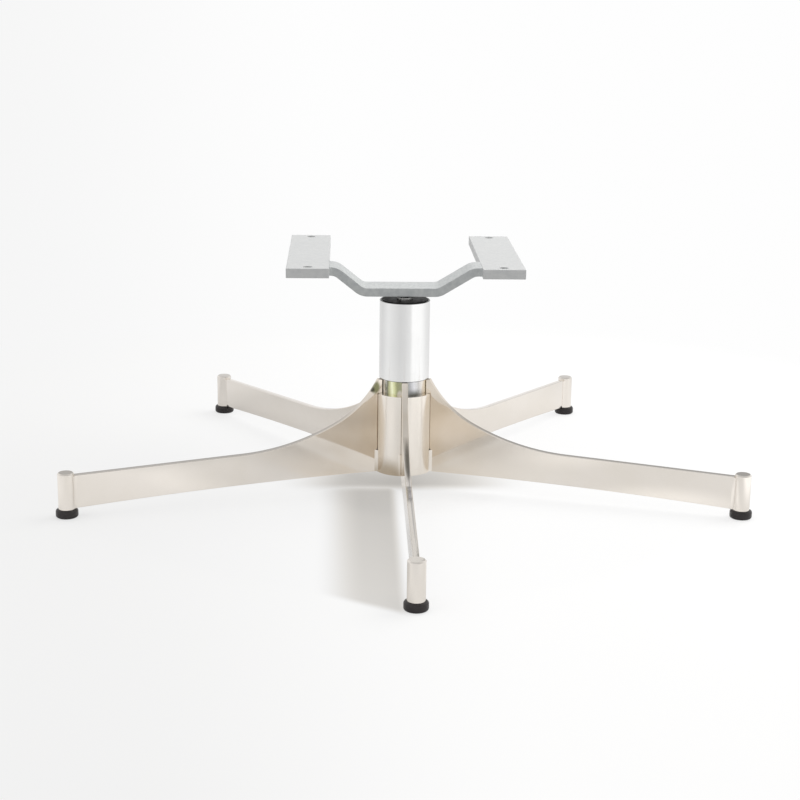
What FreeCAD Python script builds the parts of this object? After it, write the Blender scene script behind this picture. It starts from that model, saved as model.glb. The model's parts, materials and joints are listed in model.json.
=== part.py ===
import FreeCAD, Part
import math
import os
import Sketcher

# Office chair five star base with its swivelling seat yoke.
# Frame: origin on the swivel axis at floor level, +Z up, front arm along -Y.
# Lengths are in millimetres, angles in degrees.

UP = FreeCAD.Vector(0, 0, 1)
CENTRE = FreeCAD.Vector(0, 0, 0)
NEAR = 0.01
FACE_STEPS = 4

# Driving dimensions: alias, value, meaning.
DRIVING = [
    ("arm_count", 5, "arms in the star"),
    ("front_turn", 270, "turn from +X to the first arm"),
    ("fit_gap", 0.05, "clearance between parts that are fitted and welded"),
    ("running_gap", 0.05, "radial clearance of the spindle in its bushes"),
    ("post_circle_r", 340, "radius from the swivel axis to a post"),
    ("post_dia", 16, "round post at the end of an arm"),
    ("post_top", 44, "top of a post above the floor"),
    ("post_edge", 1.2, "chamfer round the top of a post"),
    ("glide_dia", 21.4, "glide at its widest"),
    ("glide_high", 8.2, "glide below the post"),
    ("glide_shoulder", 2.6, "rounding of the glide's upper edge"),
    ("glide_toe", 2.2, "rounding of the glide's lower edge"),
    ("stem_dia", 8, "glide stem in the post"),
    ("stem_long", 12, "length of the glide stem"),
    ("stem_point", 0.8, "chamfer at the end of the stem"),
    ("stem_room", 1.5, "free depth above the stem"),
    ("blade_thick", 6, "plate that an arm is cut from"),
    ("blade_edge", 0.4, "polished bevel round both faces of an arm"),
    ("crest_high", 112.5, "top of an arm beside the column"),
    ("crest_r", 27.6, "radius where the arm's top edge starts to fall"),
    ("crest_fall", 61.3, "fall of the top edge where it leaves the column"),
    ("crown_radius", 102.4, "curve of the top edge beside the column"),
    ("sweep_radius", 230, "curve of the top edge further out"),
    ("ridge_fall", 1.72, "fall of the straight top edge towards the post"),
    ("tip_high", 41.1, "top edge of an arm at the post's axis"),
    ("toe_rise", 0.2, "lower edge of an arm above the glide, at the post"),
    ("belly_radius", 4400, "hollow of the arm's lower edge"),
    ("shell_dia", 58, "slotted hub shell"),
    ("shell_low", 16.8, "bottom of the hub shell"),
    ("shell_top", 98.3, "top of the hub shell"),
    ("shell_edge", 0.5, "chamfer on the ends of the hub shell"),
    ("slot_side", 0.5, "free slit each side of an arm in its slot"),
    ("slot_floor", 39.6, "bottom of the slots in the hub shell"),
    ("overcut", 1, "reach of a cut past the end that it leaves"),
    ("core_dia", 46.8, "plated inner tube"),
    ("core_wall", 3, "wall of the inner tube"),
    ("sleeve_dia", 50, "outside of the column sleeve"),
    ("sleeve_edge", 0.6, "chamfer on the ends of the column sleeve"),
    ("plate_thick", 6, "thrust plate in the hub"),
    ("plate_hole_room", 0.5, "radial room for the spindle's end in the plate"),
    ("flange_thick", 3, "flange of the upper bush"),
    ("flange_proud", 0.5, "flange above the sleeve"),
    ("flange_edge", 0.8, "chamfer on the flange"),
    ("upper_bush_long", 26, "body of the upper bush"),
    ("lower_bush_long", 22, "length of the lower bush"),
    ("washer_thick", 2, "thrust washer"),
    ("washer_dia", 30, "outside of the thrust washer"),
    ("washer_room", 0.3, "room round and over the thrust washer"),
    ("spindle_dia", 16, "seat spindle"),
    ("tail_dia", 10, "turned-down end of the spindle"),
    ("tail_edge", 0.8, "chamfer on the spindle's end"),
    ("tail_below", 2.2, "spindle end below the retaining clip"),
    ("groove_depth", 0.9, "depth of the clip groove"),
    ("clip_thick", 1.2, "retaining clip"),
    ("clip_rim", 2.4, "width of the clip's ring"),
    ("clip_open", 70, "open angle of the clip"),
    ("keeper_dia", 24, "washer above the clip"),
    ("keeper_thick", 2, "thickness of that washer"),
    ("lift_play", 0.3, "free lift of the spindle before the washer stops it"),
    ("strap_gap", 5.9, "gap between the column sleeve and the seat strap"),
    ("strap_drop", 29.1, "seat face of the pads above the underside of the strap"),
    ("strap_thick", 8.5, "seat strap"),
    ("strap_wide", 35, "width of the seat strap"),
    ("left_bend", 44, "swivel axis to the lower bend on the left"),
    ("left_knee", 70, "swivel axis to the upper bend on the left"),
    ("right_bend", 34, "swivel axis to the lower bend on the right"),
    ("right_knee", 68, "swivel axis to the upper bend on the right"),
    ("bend_inside", 11, "inner radius of the strap's bends"),
    ("strap_edge", 0.7, "bevel along the strap's edges"),
    ("pad_top", 226.5, "seat face of the pads above the floor"),
    ("pad_thick", 9.6, "thickness of a pad"),
    ("pad_wide", 42, "width of a pad"),
    ("pad_long", 199.5, "length of a pad"),
    ("pad_overhang", 8, "front end of a pad ahead of the strap"),
    ("pad_inner", 75, "swivel axis to the inner side of a pad"),
    ("pad_edge", 0.6, "bevel round a pad"),
    ("bolt_dia", 9, "seat bolt hole"),
    ("bolt_inset", 10, "hole centre from the end of a pad"),
    ("bolt_bevel", 0.2, "broken edge of a bolt hole"),
    ("foot_weld", 2.4, "leg of the fillet between arm and post"),
    ("hub_weld", 2.6, "leg of the fillet between arm and hub shell"),
    ("spindle_weld_leg", 3, "leg of the fillet under the strap"),
    ("yoke_weld", 4, "leg of the fillet between strap and pad"),
    ("weld_sag", 0.25, "hollow of a fillet's face, as a share of its depth"),
]

# Dimensions that follow from the driving ones: alias, formula.
DERIVED = [
    ("post_r", "=post_dia / 2"),
    ("post_crown_r", "=post_dia / 2 - post_edge"),
    ("post_crown_low", "=post_top - post_edge"),
    ("cope_r", "=post_dia / 2 + fit_gap"),
    ("stem_hole_r", "=stem_dia / 2 + fit_gap"),
    ("stem_hole_top", "=glide_high + stem_long + stem_room"),
    ("glide_r", "=glide_dia / 2"),
    ("stem_r", "=stem_dia / 2"),
    ("stem_tip_r", "=stem_dia / 2 - stem_point"),
    ("stem_top", "=glide_high + stem_long"),
    ("stem_tip_low", "=glide_high + stem_long - stem_point"),
    ("root_r", "=core_dia / 2 - blade_thick / 2"),
    ("end_r", "=post_circle_r - post_r / 2"),
    ("end_high", "=tip_high + (post_circle_r - end_r) * tan(ridge_fall)"),
    ("ridge_line_high", "=tip_high + (post_circle_r - crest_r) * tan(ridge_fall)"),
    ("crown_centre_r", "=crest_r + crown_radius * sin(crest_fall)"),
    ("crown_centre_high", "=crest_high + crown_radius * cos(crest_fall)"),
    ("toe_high", "=glide_high + toe_rise"),
    ("toe_r", "=post_circle_r - post_r"),
    ("strap_low", "=pad_top - strap_drop"),
    ("sleeve_top", "=strap_low - strap_gap"),
    ("core_r", "=core_dia / 2"),
    ("core_bore_r", "=core_dia / 2 - core_wall"),
    ("core_top", "=sleeve_top + flange_proud - flange_thick"),
    ("root_cope_r", "=core_dia / 2 + fit_gap"),
    ("shell_cope_r", "=shell_dia / 2 + fit_gap"),
    ("shell_r", "=shell_dia / 2"),
    ("shell_bore_r", "=core_dia / 2 + fit_gap"),
    ("shell_edge_r", "=shell_dia / 2 - shell_edge"),
    ("shell_edge_low", "=shell_low + shell_edge"),
    ("shell_edge_top", "=shell_top - shell_edge"),
    ("slot_half", "=blade_thick / 2 + slot_side"),
    ("slot_reach", "=shell_top + overcut"),
    ("sleeve_r", "=sleeve_dia / 2"),
    ("sleeve_bore_r", "=core_dia / 2 + fit_gap"),
    ("sleeve_edge_r", "=sleeve_dia / 2 - sleeve_edge"),
    ("sleeve_edge_low", "=crest_high + sleeve_edge"),
    ("sleeve_edge_top", "=sleeve_top - sleeve_edge"),
    ("plate_top", "=slot_floor - fit_gap"),
    ("plate_low", "=slot_floor - fit_gap - plate_thick"),
    ("plate_r", "=core_dia / 2"),
    ("plate_hole_r", "=tail_dia / 2 + plate_hole_room"),
    ("flange_top", "=sleeve_top + flange_proud"),
    ("flange_edge_low", "=sleeve_top + flange_proud - flange_edge"),
    ("flange_r", "=core_dia / 2"),
    ("flange_edge_r", "=core_dia / 2 - flange_edge"),
    ("bush_r", "=core_bore_r - fit_gap"),
    ("bush_bore_r", "=spindle_dia / 2 + running_gap"),
    ("upper_bush_low", "=core_top - upper_bush_long"),
    ("lower_bush_top", "=plate_top + lower_bush_long"),
    ("washer_r", "=washer_dia / 2"),
    ("washer_bore_r", "=tail_dia / 2 + plate_hole_room"),
    ("washer_top", "=plate_top + washer_thick"),
    ("pocket_r", "=washer_dia / 2 + washer_room"),
    ("pocket_top", "=plate_top + washer_thick + washer_room"),
    ("spindle_r", "=spindle_dia / 2"),
    ("tail_r", "=tail_dia / 2"),
    ("groove_r", "=tail_dia / 2 - groove_depth"),
    ("keeper_top", "=plate_low - lift_play"),
    ("keeper_low", "=keeper_top - keeper_thick"),
    ("keeper_r", "=keeper_dia / 2"),
    ("keeper_bore_r", "=tail_dia / 2 + fit_gap"),
    ("groove_low", "=keeper_low - clip_thick"),
    ("tail_low", "=groove_low - tail_below"),
    ("tail_edge_low", "=tail_low + tail_edge"),
    ("tail_edge_r", "=tail_dia / 2 - tail_edge"),
    ("clip_r", "=groove_r + clip_rim"),
    ("clip_turn", "=360 - clip_open"),
    ("strap_half", "=strap_wide / 2"),
    ("strap_up", "=strap_low + strap_thick"),
    ("tab_low", "=pad_top - strap_thick"),
    ("strap_rise", "=pad_top - strap_thick - strap_low"),
    ("left_shift", "=strap_thick * tan(atan(strap_rise / (left_knee - left_bend)) / 2)"),
    ("right_shift", "=strap_thick * tan(atan(strap_rise / (right_knee - right_bend)) / 2)"),
    ("left_bend_up", "=left_bend - left_shift"),
    ("left_knee_up", "=left_knee - left_shift"),
    ("right_bend_up", "=right_bend - right_shift"),
    ("right_knee_up", "=right_knee - right_shift"),
    ("bend_outside", "=bend_inside + strap_thick"),
    ("spindle_weld_bore", "=spindle_dia / 2 + fit_gap"),
    ("spindle_weld_r", "=spindle_dia / 2 + spindle_weld_leg"),
    ("spindle_weld_low", "=strap_low - spindle_weld_leg"),
    ("pad_low", "=pad_top - pad_thick"),
    ("pad_outer", "=pad_inner + pad_wide"),
    ("pad_front", "=-strap_wide / 2 - pad_overhang"),
    ("pad_back", "=pad_front + pad_long"),
    ("bolt_r", "=bolt_dia / 2"),
    ("bolt_out", "=pad_inner + pad_wide / 2"),
    ("bolt_front", "=pad_front + bolt_inset"),
    ("bolt_back", "=pad_back - bolt_inset"),
]

doc = FreeCAD.newDocument("five_star_base")
sheet = doc.addObject("Spreadsheet::Sheet", "Sizes")


def fill_sheet():
    """Write the driving dimensions and the ones that follow from them."""
    row = 1
    for alias, value, meaning in DRIVING:
        sheet.set("A%d" % row, meaning)
        sheet.set("B%d" % row, str(value))
        sheet.setAlias("B%d" % row, alias)
        row += 1
    for alias, formula in DERIVED:
        sheet.set("B%d" % row, formula)
        sheet.setAlias("B%d" % row, alias)
        row += 1
    doc.recompute()


def size(alias):
    """Number in the sheet's cell of that alias, with its sign."""
    if alias.startswith("-"):
        return -size(alias[1:])
    return float(getattr(sheet, alias))


def cell(alias):
    """Expression that follows the sheet's cell of that alias."""
    if alias.startswith("-"):
        return "-Sizes." + alias[1:]
    return "Sizes." + alias


def new_body(label):
    """Body whose label names its file."""
    body = doc.addObject("PartDesign::Body", label)
    body.Label = label
    return body


def origin_feature(body, role):
    """Plane or axis of the body's own origin."""
    for feature in body.Origin.OriginFeatures:
        if feature.Role == role:
            return feature
    raise ValueError(role)


def new_sketch(body, name, plane):
    """Sketch on one of the body's origin planes."""
    sketch = body.newObject("Sketcher::SketchObject", name)
    sketch.AttachmentSupport = [(origin_feature(body, plane), "")]
    sketch.MapMode = "FlatFace"
    return sketch


def tie(sketch, constraint, alias):
    """Add a constraint whose value follows a cell."""
    number = sketch.addConstraint(constraint)
    sketch.setExpression("Constraints[%d]" % number, cell(alias))
    return number


def tie_point(sketch, curve, end, across, along):
    """Hold one end of a curve at a pair of cells; None means on that axis."""
    if across is None:
        sketch.addConstraint(Sketcher.Constraint("PointOnObject", curve, end, -2))
    else:
        tie(sketch, Sketcher.Constraint("DistanceX", -1, 1, curve, end, size(across)), across)
    if along is None:
        sketch.addConstraint(Sketcher.Constraint("PointOnObject", curve, end, -1))
    else:
        tie(sketch, Sketcher.Constraint("DistanceY", -1, 1, curve, end, size(along)), along)


def at(across, along):
    """Sketch point at a pair of cells; None means zero."""
    first = size(across) if across else 0
    second = size(along) if along else 0
    return FreeCAD.Vector(first, second, 0)


def polygon(sketch, corners):
    """Closed outline of straight lines through pairs of cells."""
    count = len(corners)
    for i in range(count):
        start = at(*corners[i])
        stop = at(*corners[(i + 1) % count])
        sketch.addGeometry(Part.LineSegment(start, stop), False)
    for i in range(count):
        joint = Sketcher.Constraint("Coincident", i, 2, (i + 1) % count, 1)
        sketch.addConstraint(joint)
        tie_point(sketch, i, 1, *corners[i])


def circle(sketch, across, along, radius):
    """Circle with its centre and radius at cells."""
    number = sketch.addGeometry(Part.Circle(at(across, along), UP, size(radius)), False)
    tie_point(sketch, number, 3, across, along)
    tie(sketch, Sketcher.Constraint("Radius", number, size(radius)), radius)


def pad_both_ways(body, sketch, thickness):
    """Pad centred on the sketch plane."""
    pad = body.newObject("PartDesign::Pad", sketch.Name + "_pad")
    pad.Profile = sketch
    pad.SideType = "Symmetric"
    pad.setExpression("Length", cell(thickness))
    sketch.Visibility = False
    return pad


def pocket(body, sketch, depth=None):
    """Cut on the side that the sketch plane's normal points to; no depth cuts right through."""
    cut = body.newObject("PartDesign::Pocket", sketch.Name + "_cut")
    cut.Profile = sketch
    cut.Reversed = True
    if depth:
        cut.Type = "Length"
        cut.setExpression("Length", cell(depth))
    else:
        cut.Type = "ThroughAll"
    sketch.Visibility = False
    return cut


def dress(body, kind, base, names, value):
    """Fillet or chamfer on named faces or edges of the feature before it."""
    feature = body.newObject("PartDesign::" + kind, base.Name + "_" + kind.lower())
    feature.Base = (base, names)
    feature.setExpression("Radius" if kind == "Fillet" else "Size", cell(value))
    return feature


def flat_faces(feature, normal):
    """Names of the flat faces square to a direction."""
    names = []
    for i, face in enumerate(feature.Shape.Faces):
        flat = face.Surface.TypeId == "Part::GeomPlane"
        if flat and abs(abs(face.normalAt(0, 0).dot(normal)) - 1) < NEAR:
            names.append("Face%d" % (i + 1))
    return names


def edges_near(feature, spots):
    """Names of the edges whose middle lies over one of the spots, seen along the edge."""
    names = []
    for i, edge in enumerate(feature.Shape.Edges):
        middle = edge.BoundBox.Center
        for spot, mask in spots:
            offset = FreeCAD.Vector(middle - spot)
            offset.scale(mask.x, mask.y, mask.z)
            if offset.Length < NEAR:
                names.append("Edge%d" % (i + 1))
    return names


def turned(label, outline, turn=None):
    """Turned piece: an outline of radius and height cells, spun about the axis."""
    body = new_body(label)
    sketch = new_sketch(body, label + "_outline", "XZ_Plane")
    polygon(sketch, outline)
    spin = body.newObject("PartDesign::Revolution", label + "_turn")
    spin.Profile = sketch
    spin.ReferenceAxis = (sketch, ["V_Axis"])
    if turn:
        spin.setExpression("Angle", cell(turn))
    else:
        spin.Angle = 360
    sketch.Visibility = False
    return body


def arm_turn(index):
    """Turn of an arm about the swivel axis."""
    return size("front_turn") + index * 360 / size("arm_count")


def stand_on_arm(body, index):
    """Move a piece modelled on the swivel axis to the end of an arm."""
    turn = "(Sizes.front_turn + %d * 360 / Sizes.arm_count)" % index
    body.setExpression("Placement.Base.x", "Sizes.post_circle_r * cos(%s)" % turn)
    body.setExpression("Placement.Base.y", "Sizes.post_circle_r * sin(%s)" % turn)


def blade_outline(sketch):
    """Side view of an arm: crest, two tangent sweeps, straight ridge, post end, hollow belly."""
    crest = at("crest_r", "crest_high")
    tip = at("end_r", "end_high")
    ridge_aim = at("crest_r", "ridge_line_high")
    along = (tip - ridge_aim).normalize()
    upward = FreeCAD.Vector(-along.y, along.x, 0)
    sweep = size("sweep_radius")
    crown = size("crown_radius")
    crown_centre = at("crown_centre_r", "crown_centre_high")
    # The sweep's centre lies one sweep radius over the ridge
    # and the difference of the two radii from the crown's centre.
    above = (crown_centre - ridge_aim).dot(upward)
    forward = (crown_centre - ridge_aim).dot(along)
    forward += math.sqrt((sweep - crown) ** 2 - (sweep - above) ** 2)
    ridge = ridge_aim + along * forward
    sweep_centre = ridge + upward * sweep
    change = sweep_centre + (crown_centre - sweep_centre).normalize() * sweep
    root_r = size("root_r")
    end_r = size("end_r")
    heel = at("shell_r", "shell_low")
    toe = at("toe_r", "toe_high")
    chord = (toe - heel) * 0.5
    drop = FreeCAD.Vector(chord.y, -chord.x, 0).normalize()
    depth = math.sqrt(size("belly_radius") ** 2 - chord.Length ** 2)
    belly_centre = heel + chord + drop * depth

    def angle(centre, point):
        return math.atan2(point.y - centre.y, point.x - centre.x)

    def arc(centre, radius, start, stop):
        whole = Part.Circle(centre, UP, radius)
        return Part.ArcOfCircle(whole, angle(centre, start), angle(centre, stop))

    # In order: root 0, crest flat 1, crown arc 2, sweep arc 3, ridge 4,
    # post end 5, toe flat 6, belly arc 7 and heel flat 8.
    root_low = FreeCAD.Vector(root_r, heel.y, 0)
    root_top = FreeCAD.Vector(root_r, crest.y, 0)
    end_low = FreeCAD.Vector(end_r, toe.y, 0)
    sketch.addGeometry(Part.LineSegment(root_low, root_top), False)
    sketch.addGeometry(Part.LineSegment(root_top, crest), False)
    sketch.addGeometry(arc(crown_centre, crown, crest, change), False)
    sketch.addGeometry(arc(sweep_centre, sweep, change, ridge), False)
    sketch.addGeometry(Part.LineSegment(ridge, tip), False)
    sketch.addGeometry(Part.LineSegment(tip, end_low), False)
    sketch.addGeometry(Part.LineSegment(end_low, toe), False)
    sketch.addGeometry(arc(belly_centre, size("belly_radius"), toe, heel), False)
    sketch.addGeometry(Part.LineSegment(heel, root_low), False)
    links = [(0, 2, 1, 1), (1, 2, 2, 1), (2, 2, 3, 1), (3, 2, 4, 1), (4, 2, 5, 1)]
    links += [(5, 2, 6, 1), (6, 2, 7, 1), (7, 2, 8, 1), (8, 2, 0, 1)]
    for first, first_end, second, second_end in links:
        if (first, second) in ((2, 3), (3, 4)):
            kind = "Tangent"
        else:
            kind = "Coincident"
        sketch.addConstraint(Sketcher.Constraint(kind, first, first_end, second, second_end))
    tie_point(sketch, 0, 1, "root_r", "shell_low")
    tie_point(sketch, 0, 2, "root_r", "crest_high")
    tie_point(sketch, 2, 1, "crest_r", "crest_high")
    tie_point(sketch, 2, 3, "crown_centre_r", "crown_centre_high")
    tie_point(sketch, 4, 2, "end_r", "end_high")
    tie_point(sketch, 6, 1, "end_r", "toe_high")
    tie_point(sketch, 6, 2, "toe_r", "toe_high")
    tie_point(sketch, 8, 1, "shell_r", "shell_low")
    tie(sketch, Sketcher.Constraint("Radius", 3, sweep), "sweep_radius")
    tie(sketch, Sketcher.Constraint("Radius", 7, size("belly_radius")), "belly_radius")
    # The ridge runs along the line from this point to the post end.
    aim = sketch.addGeometry(Part.Point(ridge_aim), True)
    tie_point(sketch, aim, 1, "crest_r", "ridge_line_high")
    sketch.addConstraint(Sketcher.Constraint("PointOnObject", aim, 1, 4))


def blade(index):
    """Arm cut from plate, bevelled, and coped to the post, the inner tube and the shell."""
    body = new_body("arm_%d" % (index + 1))
    side = new_sketch(body, "%s_side" % body.Name, "XZ_Plane")
    blade_outline(side)
    plate = pad_both_ways(body, side, "blade_thick")
    doc.recompute()
    faces = flat_faces(plate, FreeCAD.Vector(0, 1, 0))
    dress(body, "Chamfer", plate, faces, "blade_edge")
    post_cope = new_sketch(body, "%s_post_cope" % body.Name, "XY_Plane")
    circle(post_cope, "post_circle_r", None, "cope_r")
    pocket(body, post_cope)
    tube_cope = new_sketch(body, "%s_tube_cope" % body.Name, "XY_Plane")
    circle(tube_cope, None, None, "root_cope_r")
    pocket(body, tube_cope)
    shell_cope = new_sketch(body, "%s_shell_cope" % body.Name, "XY_Plane")
    circle(shell_cope, None, None, "shell_cope_r")
    body.Tip = pocket(body, shell_cope, "slot_floor")
    body.Placement = FreeCAD.Placement(CENTRE, FreeCAD.Rotation(UP, arm_turn(index)))
    return body


def post(index):
    """Round post with a chamfered top and a blind hole for the glide."""
    body = turned("post_%d" % (index + 1), [
        (None, "stem_hole_top"),
        ("stem_hole_r", "stem_hole_top"),
        ("stem_hole_r", "glide_high"),
        ("post_r", "glide_high"),
        ("post_r", "post_crown_low"),
        ("post_crown_r", "post_top"),
        (None, "post_top"),
    ])
    stand_on_arm(body, index)
    return body


def glide(index):
    """Push-in glide: rounded foot and a stem with a chamfered end."""
    body = turned("glide_%d" % (index + 1), [
        (None, None),
        ("glide_r", None),
        ("glide_r", "glide_high"),
        ("stem_r", "glide_high"),
        ("stem_r", "stem_tip_low"),
        ("stem_tip_r", "stem_top"),
        (None, "stem_top"),
    ])
    doc.recompute()
    foot = body.Tip
    across = FreeCAD.Vector(1, 1, 1)
    top_edge = [(FreeCAD.Vector(0, 0, size("glide_high")), across)]
    rims = [n for n in edges_near(foot, top_edge)
            if abs(foot.Shape.getElement(n).Curve.Radius - size("glide_r")) < NEAR]
    shoulder = dress(body, "Fillet", foot, rims, "glide_shoulder")
    doc.recompute()
    low_edge = [(CENTRE, across)]
    rims = [n for n in edges_near(shoulder, low_edge)
            if abs(shoulder.Shape.getElement(n).Curve.Radius - size("glide_r")) < NEAR]
    body.Tip = dress(body, "Fillet", shoulder, rims, "glide_toe")
    stand_on_arm(body, index)
    return body


def hub_shell():
    """Hub tube with a slot for each arm, open at its top end."""
    body = turned("hub_shell", [
        ("shell_bore_r", "shell_low"),
        ("shell_edge_r", "shell_low"),
        ("shell_r", "shell_edge_low"),
        ("shell_r", "shell_edge_top"),
        ("shell_edge_r", "shell_top"),
        ("shell_bore_r", "shell_top"),
    ])
    outline = new_sketch(body, "hub_slot", "YZ_Plane")
    polygon(outline, [
        ("-slot_half", "slot_floor"),
        ("slot_half", "slot_floor"),
        ("slot_half", "slot_reach"),
        ("-slot_half", "slot_reach"),
    ])
    slot = pocket(body, outline, "shell_dia")
    ring = body.newObject("PartDesign::PolarPattern", "hub_slots")
    ring.Originals = [slot]
    ring.Axis = (origin_feature(body, "Z_Axis"), [""])
    ring.Angle = 360
    ring.setExpression("Occurrences", cell("arm_count"))
    body.Tip = ring
    body.Placement = FreeCAD.Placement(CENTRE, FreeCAD.Rotation(UP, arm_turn(0)))
    return body


def core_tube():
    """Plated inner tube that stands on the thrust plate and carries both bushes."""
    return turned("core_tube", [
        ("core_bore_r", "plate_top"),
        ("core_r", "plate_top"),
        ("core_r", "core_top"),
        ("core_bore_r", "core_top"),
    ])


def column_sleeve():
    """Bright sleeve over the inner tube, resting on the arms' crests."""
    return turned("column_sleeve", [
        ("sleeve_bore_r", "crest_high"),
        ("sleeve_edge_r", "crest_high"),
        ("sleeve_r", "sleeve_edge_low"),
        ("sleeve_r", "sleeve_edge_top"),
        ("sleeve_edge_r", "sleeve_top"),
        ("sleeve_bore_r", "sleeve_top"),
    ])


def upper_bush():
    """Flanged bush in the top of the inner tube."""
    return turned("upper_bush", [
        ("bush_bore_r", "upper_bush_low"),
        ("bush_r", "upper_bush_low"),
        ("bush_r", "core_top"),
        ("flange_r", "core_top"),
        ("flange_r", "flange_edge_low"),
        ("flange_edge_r", "flange_top"),
        ("bush_bore_r", "flange_top"),
    ])


def lower_bush():
    """Plain bush on the thrust plate, recessed over the thrust washer."""
    return turned("lower_bush", [
        ("pocket_r", "plate_top"),
        ("bush_r", "plate_top"),
        ("bush_r", "lower_bush_top"),
        ("bush_bore_r", "lower_bush_top"),
        ("bush_bore_r", "pocket_top"),
        ("pocket_r", "pocket_top"),
    ])


def thrust_plate():
    """Disc in the hub shell that carries the seat's load."""
    return turned("thrust_plate", [
        ("plate_hole_r", "plate_low"),
        ("plate_r", "plate_low"),
        ("plate_r", "plate_top"),
        ("plate_hole_r", "plate_top"),
    ])


def thrust_washer():
    """Flat washer under the spindle's shoulder."""
    return turned("thrust_washer", [
        ("washer_bore_r", "plate_top"),
        ("washer_r", "plate_top"),
        ("washer_r", "washer_top"),
        ("washer_bore_r", "washer_top"),
    ])


def spindle():
    """Seat spindle: shoulder on the thrust washer, grooved end below the plate."""
    return turned("spindle", [
        (None, "tail_low"),
        ("tail_edge_r", "tail_low"),
        ("tail_r", "tail_edge_low"),
        ("tail_r", "groove_low"),
        ("groove_r", "groove_low"),
        ("groove_r", "keeper_low"),
        ("tail_r", "keeper_low"),
        ("tail_r", "washer_top"),
        ("spindle_r", "washer_top"),
        ("spindle_r", "strap_low"),
        (None, "strap_low"),
    ])


def keeper_washer():
    """Washer that stops the spindle from lifting out."""
    return turned("keeper_washer", [
        ("keeper_bore_r", "keeper_low"),
        ("keeper_r", "keeper_low"),
        ("keeper_r", "keeper_top"),
        ("keeper_bore_r", "keeper_top"),
    ])


def retaining_clip():
    """Open ring clip in the spindle's groove."""
    return turned("retaining_clip", [
        ("groove_r", "groove_low"),
        ("clip_r", "groove_low"),
        ("clip_r", "keeper_low"),
        ("groove_r", "keeper_low"),
    ], "clip_turn")


def yoke_strap():
    """Bent flat bar: low over the column, up to the pads on both sides."""
    body = new_body("yoke_strap")
    side = new_sketch(body, "strap_side", "XZ_Plane")
    corners = [
        ("-pad_inner", "tab_low"),
        ("-left_knee", "tab_low"),
        ("-left_bend", "strap_low"),
        ("right_bend", "strap_low"),
        ("right_knee", "tab_low"),
        ("pad_inner", "tab_low"),
        ("pad_inner", "pad_top"),
        ("right_knee_up", "pad_top"),
        ("right_bend_up", "strap_up"),
        ("-left_bend_up", "strap_up"),
        ("-left_knee_up", "pad_top"),
        ("-pad_inner", "pad_top"),
    ]
    polygon(side, corners)
    bar = pad_both_ways(body, side, "strap_wide")
    doc.recompute()

    def bend_edges(feature, places):
        mask = FreeCAD.Vector(1, 0, 1)
        spots = [(FreeCAD.Vector(size(x), 0, size(z)), mask) for x, z in places]
        return edges_near(feature, spots)

    outer = [corners[2], corners[3], corners[7], corners[10]]
    inner = [corners[1], corners[4], corners[8], corners[9]]
    rounded = dress(body, "Fillet", bar, bend_edges(bar, outer), "bend_outside")
    doc.recompute()
    hollowed = dress(body, "Fillet", rounded, bend_edges(rounded, inner), "bend_inside")
    doc.recompute()
    faces = flat_faces(hollowed, FreeCAD.Vector(0, 1, 0))
    body.Tip = dress(body, "Chamfer", hollowed, faces, "strap_edge")
    return body


def pad_plate(label, sign):
    """Flat seat pad with two bolt holes."""
    body = new_body(label)
    plan = new_sketch(body, label + "_plan", "XY_Plane")
    polygon(plan, [
        (sign + "pad_inner", "pad_front"),
        (sign + "pad_outer", "pad_front"),
        (sign + "pad_outer", "pad_back"),
        (sign + "pad_inner", "pad_back"),
    ])
    slab = body.newObject("PartDesign::Pad", label + "_slab")
    slab.Profile = plan
    slab.setExpression("Length", cell("pad_thick"))
    plan.Visibility = False
    doc.recompute()
    eased = dress(body, "Chamfer", slab, flat_faces(slab, UP), "pad_edge")
    holes = new_sketch(body, label + "_holes", "XY_Plane")
    circle(holes, sign + "bolt_out", "bolt_front", "bolt_r")
    circle(holes, sign + "bolt_out", "bolt_back", "bolt_r")
    drilled = pocket(body, holes)
    doc.recompute()
    top = size("pad_thick")
    mask = FreeCAD.Vector(1, 1, 1)
    spots = [(FreeCAD.Vector(size(sign + "bolt_out"), size(y), top), mask)
             for y in ("bolt_front", "bolt_back")]
    body.Tip = dress(body, "Chamfer", drilled, edges_near(drilled, spots), "bolt_bevel")
    body.setExpression("Placement.Base.z", cell("pad_low"))
    return body


def weld_prism(face_y, leg, round_centre, round_r, low, high, side):
    """Fillet bead between a plate face at face_y and a round of radius round_r.

    The bead stands from low to high, side is the side of the plate it lies on,
    and leg is its length along the plate face. Its other foot is on the round.
    """
    start_x = round_centre + leg_sign(leg) * math.sqrt(round_r ** 2 - face_y ** 2)
    corner = FreeCAD.Vector(start_x, side * face_y, low)
    along = FreeCAD.Vector(start_x + leg, side * face_y, low)
    turn = leg / round_r
    first = math.atan2(face_y, start_x - round_centre)

    def on_round(share):
        angle = first + turn * share
        return FreeCAD.Vector(round_centre + round_r * math.cos(angle),
                              side * round_r * math.sin(angle), low)

    foot = on_round(1)
    outline = [corner] + hollow_face(along, foot, corner) + [on_round(0.5), corner]
    face = Part.Face(Part.makePolygon(outline))
    return face.extrude(FreeCAD.Vector(0, 0, high - low))


def hollow_face(start, stop, corner):
    """Points along a fillet's face, which sags towards its corner."""
    points = []
    for step in range(FACE_STEPS + 1):
        share = step / FACE_STEPS
        chord = start + (stop - start) * share
        sag = size("weld_sag") * 4 * share * (1 - share)
        points.append(chord + (corner - (start + stop) * 0.5) * sag)
    return points


def leg_sign(leg):
    """Direction in which a bead's leg runs."""
    return 1 if leg > 0 else -1


def bead_node(label, beads):
    """One node of separate beads."""
    node = doc.addObject("Part::Feature", label)
    node.Label = label
    node.Shape = Part.makeCompound(beads)
    node.Placement = FreeCAD.Placement()
    return node


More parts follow.
